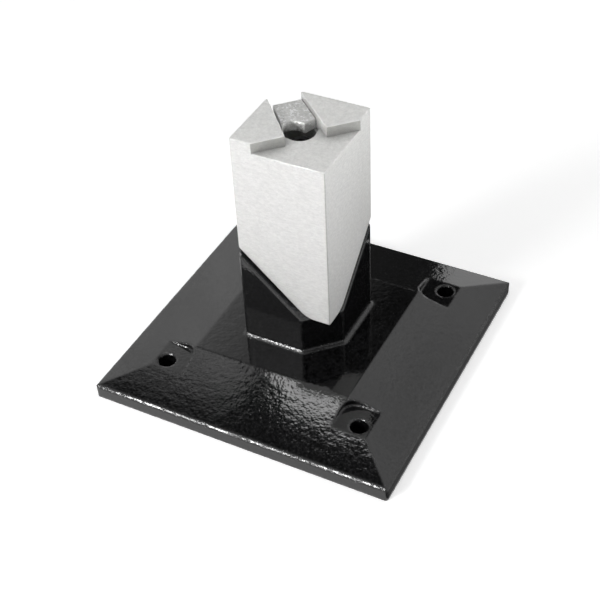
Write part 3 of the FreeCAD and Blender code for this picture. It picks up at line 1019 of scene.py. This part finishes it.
@dataclass
class Studio:
    """Pale floor, white surroundings, soft lamps, and dark and bright panels.

    Attributes:
        floor_width: Width of the floor in metres.
        floor_colour: Colour of the floor.
        floor_glow: Light that the floor shows the eye and reflections beside what falls on it.
        far_glow: The same far from the object, where less light falls.
        far_floor: Distances in metres between which it goes from one to the other.
        plate_shade_half_width: Half width in metres of the floor that the plate covers, where it is black.
        sky: Strength of the surroundings as a source of light, where one is white.
        fold_scale: How many folds of the white cloth fit in one radian, as reflections show them.
        fold_levels: Lowest and highest brightness of those folds.
        target: Point that the lamps face.
        lamps: Lamps of the studio.
        flags: Panels of the studio.
    """

    floor_width: float = 12.0
    floor_colour: str = "#f2f2f2"
    floor_glow: float = 0.60
    far_glow: float = 0.95
    far_floor: tuple[float, float] = (0.45, 1.5)
    plate_shade_half_width: float = 92 * MM
    sky: float = 0.18
    fold_scale: float = 70.0
    fold_levels: tuple[float, float] = (0.55, 1.30)
    target: Vector = field(default_factory=lambda: Vector((0.0, 0.0, 60 * MM)))
    lamps: tuple[Softbox, ...] = (
        Softbox("key_lamp", (-0.44, -0.97, 0.60), width=0.30, height=0.30, radiance=28.2),
        Softbox("rear_lamp", (0.40, 1.06, 0.46), width=1.40, height=0.60, radiance=2.2),
        Softbox(
            "side_lamp", (0.30, 0.16, 0.26), width=0.20, height=0.20, radiance=1.3,
            aim=(0.03, 0.0, 0.23), spread=60.0
        ),
        Softbox("top_lamp", (0.0, -0.25, 1.25), width=0.50, height=0.50, radiance=2.0),
    )
    flags: tuple[Flag, ...] = (
        Flag("overhead_front", level_corners(-0.68, -0.12, -0.05, 0.45, 1.0), levels=(0.04, 0.04)),
        Flag(
            "overhead_rear", level_corners(-0.68, -0.12, 0.45, 1.30, 1.0), levels=(0.03, 0.8),
            fade=(-0.42, -0.68)
        ),
        Flag(
            "overhead_strip",
            (
                (-0.66, 0.05, 0.99), (-0.445, 0.05, 0.99), (-0.415, 0.17, 0.99), (-0.415, 0.30, 0.99),
                (-0.66, 0.30, 0.99),
            ),
            fade=(0.06, 0.15), levels=(0.03, 1.15), axis=Axis.Y, folds=1.1
        ),
        Flag(
            "overhead_window",
            (
                (-0.335, 0.10, 0.98), (-0.18, 0.10, 0.98), (-0.18, 0.32, 0.98), (-0.395, 0.32, 0.98),
                (-0.39, 0.165, 0.98),
            ),
            fade=(0.108, 0.138), levels=(0.05, 5.3), axis=Axis.Y
        ),
        Flag(
            "rear_flag", ((-0.70, 1.2, 0.0), (-0.27, 1.2, 0.0), (-0.27, 1.2, 0.8), (-0.70, 1.2, 0.8)),
            fade=(-0.27, -0.70), levels=(0.03, 0.10)
        ),
        Flag(
            "front_flag", ((0.25, -0.75, 0.45), (0.85, -0.05, 0.45), (0.75, -0.05, 1.0), (0.25, -0.65, 1.0)),
            levels=(0.05, 0.05)
        ),
        Flag(
            "overhead_side", level_corners(0.30, 1.80, 0.60, 2.30, 1.0), levels=(0.03, 0.03), shown=Shown.LATER
        ),
        Flag(
            "rear_side", ((0.20, 1.3, 0.0), (1.30, 1.3, 0.0), (1.30, 1.3, 1.0), (0.20, 1.3, 1.0)),
            levels=(0.03, 0.03), shown=Shown.LATER
        ),
        # Painted shade: a dark card on the floor beside the plate's right edge, which the rim's reflections
        # show as the plate's contact shadow; it grows brighter away from the plate
        Flag(
            "right_shadow_card", level_corners(0.0954, 0.125, -0.11, 0.15, 0.0012), fade=(0.098, 0.115),
            levels=(0.15, 0.85)
        ),
        Flag("rear_card", level_corners(-0.05, 0.25, 0.104, 0.40, 0.002), levels=(0.03, 0.03)),
        Flag(
            "front_window",
            ((-0.62, -0.78, 0.72), (-0.18, -0.78, 0.72), (-0.18, -0.78, 1.15), (-0.62, -0.78, 1.15)),
            fade=(-0.52, -0.22), levels=(3.0, 2.1), folds=0.8
        ),
        Flag(
            "front_glint",
            ((-0.66, -0.92, 0.47), (-0.16, -1.10, 0.47), (-0.16, -1.00, 0.74), (-0.66, -0.82, 0.74)),
            fade=(-0.66, -0.50), levels=(5.0, 44.0), folds=5.0, fold_mm=60.0, hanging=True,
            shown=Shown.FIRST
        ),
        Flag(
            "rear_window", ((-0.27, 1.2, 0.0), (0.35, 1.2, 0.0), (0.35, 1.2, 0.8), (-0.27, 1.2, 0.8)),
            levels=(1.3, 1.3)
        ),
    )

    def build(self) -> None:
        """Sets up the whole studio."""
        self.lay_floor()
        self.light_world()
        for flag in self.flags:
            flag.build()
        for lamp in self.lamps:
            lamp.build(self.target)

    def lay_floor(self) -> None:
        """Lays the floor, which shows the eye and reflections more light than it takes, and is painted black as
        shade where the plate covers it.
        """
        half = self.floor_width / 2
        mesh = bpy.data.meshes.new("floor")
        mesh.from_pydata(level_corners(-half, half, -half, half, 0.0), [], [(0, 1, 2, 3)])
        floor = new_object("floor", mesh)
        material, tree, place, surface = new_material("pale_floor")
        out = add_node(tree, "ShaderNodeVectorMath", {"operation": "ABSOLUTE"}, {0: place})
        apart = add_node(tree, "ShaderNodeSeparateXYZ", links={0: out.outputs[0]})
        # Painted shade: the floor that the plate covers is black, so that the holes through the plate look dark
        beyond = [
            add_node(
                tree, "ShaderNodeMath", {"operation": "GREATER_THAN", 1: self.plate_shade_half_width}, {0: apart.outputs[axis]}
            ).outputs[0]
            for axis in ("X", "Y")
        ]
        open_floor = add_node(tree, "ShaderNodeMath", {"operation": "MAXIMUM"}, {0: beyond[0], 1: beyond[1]})
        tint = add_node(
            tree, "ShaderNodeMix", {"data_type": "RGBA", 6: linear("#000000"), 7: linear(self.floor_colour)},
            {0: open_floor.outputs[0]}
        )
        matt = add_node(tree, "ShaderNodeBsdfDiffuse", links={"Color": tint.outputs[2]})
        rays = add_node(tree, "ShaderNodeLightPath")
        seen = add_node(
            tree, "ShaderNodeMath", {"operation": "MAXIMUM"},
            {0: rays.outputs["Is Camera Ray"], 1: rays.outputs["Is Glossy Ray"]}
        )
        away = add_node(tree, "ShaderNodeVectorMath", {"operation": "LENGTH"}, {0: place})
        near, far = self.far_floor
        level = add_node(
            tree, "ShaderNodeMapRange",
            {"From Min": near, "From Max": far, "To Min": self.floor_glow, "To Max": self.far_glow},
            {"Value": away.outputs["Value"]}
        )
        strength = add_node(
            tree, "ShaderNodeMath", {"operation": "MULTIPLY"}, {0: seen.outputs[0], 1: level.outputs["Result"]}
        )
        glow = add_node(
            tree, "ShaderNodeEmission", links={"Color": tint.outputs[2], "Strength": strength.outputs[0]}
        )
        both = add_node(tree, "ShaderNodeAddShader", links={0: matt.outputs[0], 1: glow.outputs[0]})
        tree.links.new(both.outputs[0], surface)
        mesh.materials.append(material)

    def light_world(self) -> None:
        """Makes the surroundings white to the eye, uneven in reflections, and softer as a source of light."""
        world = bpy.data.worlds.new("white_studio")
        world.use_nodes = True
        bpy.context.scene.world = world
        tree = world.node_tree
        tree.nodes.clear()
        output = add_node(tree, "ShaderNodeOutputWorld")
        rays = add_node(tree, "ShaderNodeLightPath")
        seen = add_node(
            tree, "ShaderNodeMath", {"operation": "MAXIMUM"},
            {0: rays.outputs["Is Camera Ray"], 1: rays.outputs["Is Glossy Ray"]}
        )
        seen = add_node(
            tree, "ShaderNodeMath", {"operation": "MAXIMUM"},
            {0: seen.outputs[0], 1: rays.outputs["Is Transmission Ray"]}
        )
        place = add_node(tree, "ShaderNodeTexCoord").outputs["Generated"]
        folds = add_node(
            tree, "ShaderNodeTexNoise", {"Scale": self.fold_scale, "Detail": 1.0}, {"Vector": place}
        )
        low, high = self.fold_levels
        uneven = add_node(
            tree, "ShaderNodeMapRange",
            {"From Min": NOISE_LOW, "From Max": NOISE_HIGH, "To Min": low, "To Max": high},
            {"Value": folds.outputs["Fac"]}
        )
        white = add_node(
            tree, "ShaderNodeMix", {"data_type": "FLOAT", 2: 1.0},
            {0: rays.outputs["Is Glossy Ray"], 3: uneven.outputs["Result"]}
        )
        strength = add_node(
            tree, "ShaderNodeMapRange", {"To Min": self.sky},
            {"Value": seen.outputs[0], "To Max": white.outputs[0]}
        )
        background = add_node(
            tree, "ShaderNodeBackground", {"Color": linear("#ffffff")}, {"Strength": strength.outputs["Result"]}
        )
        tree.links.new(background.outputs[0], output.inputs["Surface"])


@dataclass(frozen=True)
class Viewpoint:
    """Where the photograph was taken from.

    Attributes:
        aim: Point at the middle of the picture.
        azimuth: Degrees round the object, nought in front of the plate's -Y edge, 90 at +X.
        elevation: Degrees above the floor.
        roll: Degrees by which the camera leans.
        distance: Metres from the aim.
        lens: Focal length in millimetres on a 36 mm wide sensor.
    """

    aim: Triple = (-13.0 * MM, 12.8 * MM, 19.85 * MM)
    azimuth: float = 29.36
    elevation: float = 41.36
    roll: float = -3.18
    distance: float = 775.3 * MM
    lens: float = 74.83

    def build(self) -> None:
        """Places the camera and makes it the scene's."""
        data = bpy.data.cameras.new("camera")
        data.sensor_width = 36.0
        data.lens = self.lens
        camera = new_object("camera", data)
        round_by, up_by = math.radians(self.azimuth), math.radians(self.elevation)
        level = math.cos(up_by)
        toward = Vector((math.sin(round_by) * level, -math.cos(round_by) * level, math.sin(up_by)))
        lean = Matrix.Rotation(math.radians(self.roll), 4, "Z")
        turn = toward.to_track_quat("Z", "Y").to_matrix().to_4x4()
        camera.matrix_world = Matrix.Translation(Vector(self.aim) + toward * self.distance) @ turn @ lean
        bpy.context.scene.camera = camera


def main() -> None:
    """Builds the part's pieces in order, then the studio round them."""
    logging.basicConfig(level=logging.INFO, format="%(name)s: %(message)s")
    bpy.context.scene.view_settings.view_transform = "Standard"
    for assembly in (BaseCasting(), WedgeBlock(), DrawBolt()):
        assembly.dress()
    Studio().build()
    Viewpoint().build()


if __name__ == "__main__":
    main()
